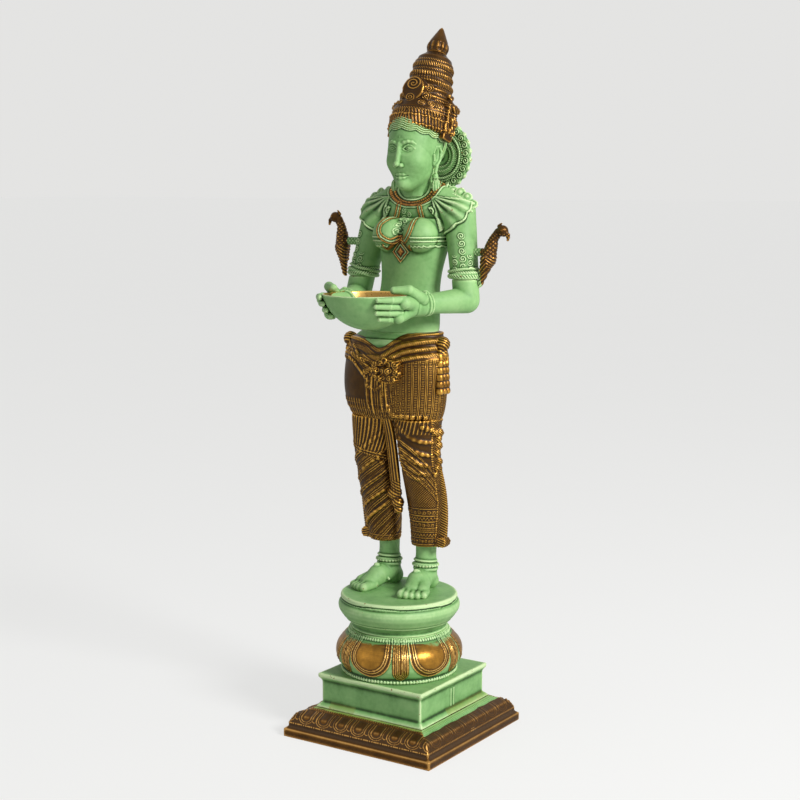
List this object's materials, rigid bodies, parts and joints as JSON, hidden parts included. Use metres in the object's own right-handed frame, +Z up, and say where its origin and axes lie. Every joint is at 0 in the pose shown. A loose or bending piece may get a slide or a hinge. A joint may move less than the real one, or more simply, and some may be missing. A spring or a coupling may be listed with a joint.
{
  "type": "deepalakshmi lamp",
  "caption": "Standing lamp lady of patinated brass on a dish, lotus ring and stepped plinth, holding a shallow oil bowl, with a tall crown and a wheel behind the head.",
  "frame": {"origin": "centre of the square plinth's underside, on the plane that it stands on", "axes": "+Z up. The figure faces -Y, her left hand is on the +X side, and the plinth's sides are along X and Y"},
  "size_m": [0.2703, 0.2507, 0.8958],
  "materials": {
    "foot_bronze": "brown-gold bronze patina with worn gold edges",
    "plinth_green": "painted verdigris green over brass",
    "lotus_bronze": "brown-gold bronze patina, burnished on the petals",
    "skin_green": "painted verdigris green over brass, rubbed light on high spots",
    "dress_bronze": "dark brown-gold patina, gold on the relief",
    "jewel_green": "painted verdigris green with gold wiped on the ornament",
    "crown_bronze": "brown-gold patina, gold on the relief",
    "bird_bronze": "brown-gold patina, gold on the relief",
    "halo_green": "painted verdigris green over brass",
    "bowl_green": "green outside, polished brass inside",
    "steel_fixings": "plain zinc-plated steel"
  },
  "bodies": {
    "root": {"plinth_foot": "foot_bronze", "plinth_block": "plinth_green", "lotus_ring": "lotus_bronze", "pedestal_dish": "plinth_green", "tie_rod": "steel_fixings", "tie_washer": "steel_fixings", "tie_nut": "steel_fixings", "foot_screws": "steel_fixings", "foot_washers": "steel_fixings", "right_foot": "skin_green", "left_foot": "skin_green", "right_leg": "dress_bronze", "left_leg": "dress_bronze", "hip_wrap": "dress_bronze", "belt_buckle": "dress_bronze", "centre_sash": "dress_bronze", "right_hip_knot": "dress_bronze", "left_hip_knot": "dress_bronze", "torso": "skin_green", "right_upper_arm": "skin_green", "right_forearm": "skin_green", "right_hand": "skin_green", "left_upper_arm": "skin_green", "left_forearm": "skin_green", "left_hand": "skin_green", "bowl": "bowl_green", "head": "skin_green", "crown": "crown_bronze", "crown_finial": "crown_bronze", "right_earring": "jewel_green", "left_earring": "jewel_green", "right_bird": "bird_bronze", "left_bird": "bird_bronze"},
    "halo": {"halo_disc": "halo_green"}
  },
  "joints": [
    {"name": "halo_pull", "type": "slide", "parent": "root", "child": "halo", "axis": [0, 1, 0], "range_m": [0, 0.03]}
  ]
}
